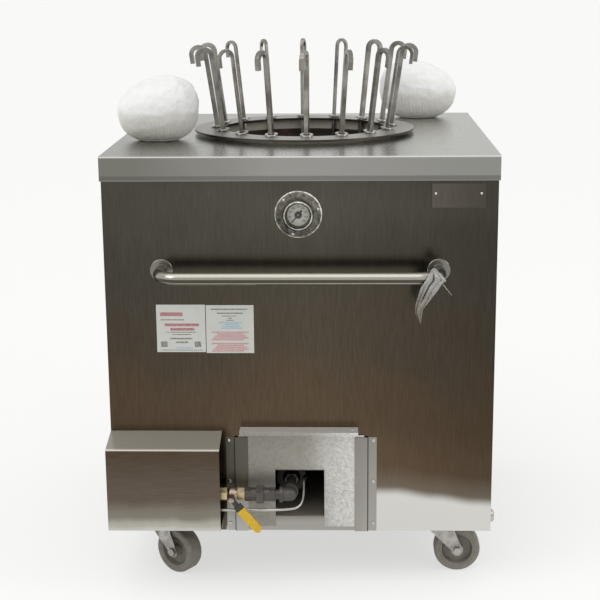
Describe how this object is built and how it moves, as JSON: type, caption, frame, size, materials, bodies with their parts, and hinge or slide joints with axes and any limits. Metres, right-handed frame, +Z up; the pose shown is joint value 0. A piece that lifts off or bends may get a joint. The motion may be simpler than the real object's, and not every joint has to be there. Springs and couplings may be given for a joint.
{
  "type": "tandoor oven",
  "caption": "Free-standing gas-fired clay pot oven in a square stainless cabinet on swivel casters, with skewers standing in a ring round its mouth.",
  "frame": {"origin": "on the floor, under the middle of the oven's bounding box", "axes": "+Z up, -Y towards the user at the front, +X to the right seen from the front"},
  "size_m": [0.83, 0.9366, 1.1412],
  "materials": {
    "stainless_sheet": "fine brushed stainless sheet",
    "stainless_bright": "polished stainless",
    "frame_steel": "black painted steel",
    "clay": "unglazed fired clay, slightly sooty",
    "firebrick": "refractory slab",
    "fibre": "ceramic fibre packing",
    "skewer_steel": "dull bare steel bar",
    "cast_iron": "rough cast iron",
    "black_pipe": "black iron pipe and fittings",
    "aluminium": "die-cast aluminium",
    "pilot_aluminium": "soft drawn aluminium tube",
    "brass": "nickel-washed brass",
    "lever_sleeve": "steel lever in a yellow vinyl sleeve",
    "zinc": "bright zinc plated steel",
    "fastener": "blackened and plated small fasteners",
    "dial_white": "white printed dial",
    "needle_black": "matt black needle",
    "glass": "flat clear glass",
    "wheel_grey": "dark grey moulded tread on a moulded core",
    "cloth": "white cotton cloth, stuffed",
    "clear_plastic": "thin clear plastic bag with folded paper"
  },
  "bodies": {
    "cabinet": {"top_plate": "stainless_sheet", "front_panel": "stainless_sheet", "cabinet_wrap": "stainless_sheet", "base_frame": "frame_steel", "bottom_pan": "stainless_sheet", "pot_deck": "frame_steel", "pot_slab": "firebrick", "clay_pot_belly": "clay", "clay_pot_neck": "clay", "insulation": "fibre", "mouth_collar": "stainless_bright", "burner": "cast_iron", "heat_deflector": "skewer_steel", "gas_pipes": "black_pipe", "gas_regulator": "aluminium", "ball_valve": "brass", "pipe_union": "black_pipe", "pipe_elbow": "black_pipe", "pilot_tube": "pilot_aluminium", "pilot_burner": "zinc", "control_cover": "stainless_sheet", "door_guides": "stainless_sheet", "handle": "stainless_bright", "thermometer_case": "stainless_bright", "thermometer_dial": "dial_white", "thermometer_glass": "glass", "fasteners": "fastener", "caster_plates": "zinc", "document_bag": "clear_plastic"},
    "skewer_ring": {"skewer_ring": "stainless_bright", "ring_eyelets": "stainless_bright"},
    "skewer_01": {"skewer_01": "skewer_steel"},
    "skewer_02": {"skewer_02": "skewer_steel"},
    "skewer_03": {"skewer_03": "skewer_steel"},
    "skewer_04": {"skewer_04": "skewer_steel"},
    "skewer_05": {"skewer_05": "skewer_steel"},
    "skewer_06": {"skewer_06": "skewer_steel"},
    "skewer_07": {"skewer_07": "skewer_steel"},
    "skewer_08": {"skewer_08": "skewer_steel"},
    "skewer_09": {"skewer_09": "skewer_steel"},
    "skewer_10": {"skewer_10": "skewer_steel"},
    "skewer_11": {"skewer_11": "skewer_steel"},
    "skewer_12": {"skewer_12": "skewer_steel"},
    "skewer_13": {"skewer_13": "skewer_steel"},
    "skewer_14": {"skewer_14": "skewer_steel"},
    "skewer_15": {"skewer_15": "skewer_steel"},
    "skewer_16": {"skewer_16": "skewer_steel"},
    "draft_door": {"draft_door": "stainless_sheet"},
    "valve_lever": {"valve_lever": "lever_sleeve"},
    "thermometer_needle": {"thermometer_needle": "needle_black"},
    "bread_pad_left": {"bread_pad_left": "cloth"},
    "bread_pad_right": {"bread_pad_right": "cloth"},
    "caster_front_left": {"fork_front_left": "zinc"},
    "wheel_front_left": {"wheel_front_left": "wheel_grey"},
    "caster_front_right": {"fork_front_right": "zinc"},
    "wheel_front_right": {"wheel_front_right": "wheel_grey"},
    "caster_back_left": {"fork_back_left": "zinc"},
    "wheel_back_left": {"wheel_back_left": "wheel_grey"},
    "caster_back_right": {"fork_back_right": "zinc"},
    "wheel_back_right": {"wheel_back_right": "wheel_grey"}
  },
  "joints": [
    {"name": "ring_lift", "type": "slide", "parent": "cabinet", "child": "skewer_ring", "axis": [0, 0, 1], "range_m": [0, 0.25]},
    {"name": "skewer_01_lift", "type": "slide", "parent": "skewer_ring", "child": "skewer_01", "axis": [0.0076, -0.1459, 0.9893], "range_m": [0, 0.6]},
    {"name": "skewer_02_lift", "type": "slide", "parent": "skewer_ring", "child": "skewer_02", "axis": [0.0629, -0.1319, 0.9893], "range_m": [0, 0.6]},
    {"name": "skewer_03_lift", "type": "slide", "parent": "skewer_ring", "child": "skewer_03", "axis": [0.1086, -0.0977, 0.9893], "range_m": [0, 0.6]},
    {"name": "skewer_04_lift", "type": "slide", "parent": "skewer_ring", "child": "skewer_04", "axis": [0.1377, -0.0488, 0.9893], "range_m": [0, 0.6]},
    {"name": "skewer_05_lift", "type": "slide", "parent": "skewer_ring", "child": "skewer_05", "axis": [0.1459, 0.0076, 0.9893], "range_m": [0, 0.6]},
    {"name": "skewer_06_lift", "type": "slide", "parent": "skewer_ring", "child": "skewer_06", "axis": [0.1319, 0.0629, 0.9893], "range_m": [0, 0.6]},
    {"name": "skewer_07_lift", "type": "slide", "parent": "skewer_ring", "child": "skewer_07", "axis": [0.0977, 0.1086, 0.9893], "range_m": [0, 0.6]},
    {"name": "skewer_08_lift", "type": "slide", "parent": "skewer_ring", "child": "skewer_08", "axis": [0.0488, 0.1377, 0.9893], "range_m": [0, 0.6]},
    {"name": "skewer_09_lift", "type": "slide", "parent": "skewer_ring", "child": "skewer_09", "axis": [-0.0076, 0.1459, 0.9893], "range_m": [0, 0.6]},
    {"name": "skewer_10_lift", "type": "slide", "parent": "skewer_ring", "child": "skewer_10", "axis": [-0.0629, 0.1319, 0.9893], "range_m": [0, 0.6]},
    {"name": "skewer_11_lift", "type": "slide", "parent": "skewer_ring", "child": "skewer_11", "axis": [-0.1086, 0.0977, 0.9893], "range_m": [0, 0.6]},
    {"name": "skewer_12_lift", "type": "slide", "parent": "skewer_ring", "child": "skewer_12", "axis": [-0.1377, 0.0488, 0.9893], "range_m": [0, 0.6]},
    {"name": "skewer_13_lift", "type": "slide", "parent": "skewer_ring", "child": "skewer_13", "axis": [-0.1459, -0.0076, 0.9893], "range_m": [0, 0.6]},
    {"name": "skewer_14_lift", "type": "slide", "parent": "skewer_ring", "child": "skewer_14", "axis": [-0.1319, -0.0629, 0.9893], "range_m": [0, 0.6]},
    {"name": "skewer_15_lift", "type": "slide", "parent": "skewer_ring", "child": "skewer_15", "axis": [-0.0977, -0.1086, 0.9893], "range_m": [0, 0.6]},
    {"name": "skewer_16_lift", "type": "slide", "parent": "skewer_ring", "child": "skewer_16", "axis": [-0.0488, -0.1377, 0.9893], "range_m": [0, 0.6]},
    {"name": "pad_left_lift", "type": "slide", "parent": "cabinet", "child": "bread_pad_left", "axis": [-0.2588, 0, 0.9659], "range_m": [0, 0.3]},
    {"name": "pad_right_lift", "type": "slide", "parent": "cabinet", "child": "bread_pad_right", "axis": [0.2588, 0, 0.9659], "range_m": [0, 0.3]},
    {"name": "draft_door_lift", "type": "slide", "parent": "cabinet", "child": "draft_door", "axis": [0, 0, 1], "range_m": [0, 0.15]},
    {"name": "valve_turn", "type": "hinge", "parent": "cabinet", "child": "valve_lever", "pos_m": [-0.145, -0.45065, 0.227], "axis": [0, 1, 0], "range_deg": [-50, 40]},
    {"name": "needle_turn", "type": "hinge", "parent": "cabinet", "child": "thermometer_needle", "pos_m": [-0.002, -0.38215, 0.82], "axis": [0, 1, 0], "range_deg": [0, 260]},
    {"name": "swivel_front_left", "type": "hinge", "parent": "cabinet", "child": "caster_front_left", "pos_m": [-0.306, -0.27965, 0.11], "axis": [0, 0, 1], "continuous": true},
    {"name": "roll_front_left", "type": "hinge", "parent": "caster_front_left", "child": "wheel_front_left", "pos_m": [-0.27615, -0.29978, 0.0508], "axis": [0.5592, 0.829, 0], "continuous": true},
    {"name": "swivel_front_right", "type": "hinge", "parent": "cabinet", "child": "caster_front_right", "pos_m": [0.306, -0.27965, 0.11], "axis": [0, 0, 1], "continuous": true},
    {"name": "roll_front_right", "type": "hinge", "parent": "caster_front_right", "child": "wheel_front_right", "pos_m": [0.342, -0.27965, 0.0508], "axis": [0, 1, 0], "continuous": true},
    {"name": "swivel_back_left", "type": "hinge", "parent": "cabinet", "child": "caster_back_left", "pos_m": [-0.306, 0.34335, 0.11], "axis": [0, 0, 1], "continuous": true},
    {"name": "roll_back_left", "type": "hinge", "parent": "caster_back_left", "child": "wheel_back_left", "pos_m": [-0.33938, 0.35684, 0.0508], "axis": [-0.3746, -0.9272, 0], "continuous": true},
    {"name": "swivel_back_right", "type": "hinge", "parent": "cabinet", "child": "caster_back_right", "pos_m": [0.306, 0.34335, 0.11], "axis": [0, 0, 1], "continuous": true},
    {"name": "roll_back_right", "type": "hinge", "parent": "caster_back_right", "child": "wheel_back_right", "pos_m": [0.33889, 0.35799, 0.0508], "axis": [-0.4067, 0.9135, 0], "continuous": true}
  ]
}
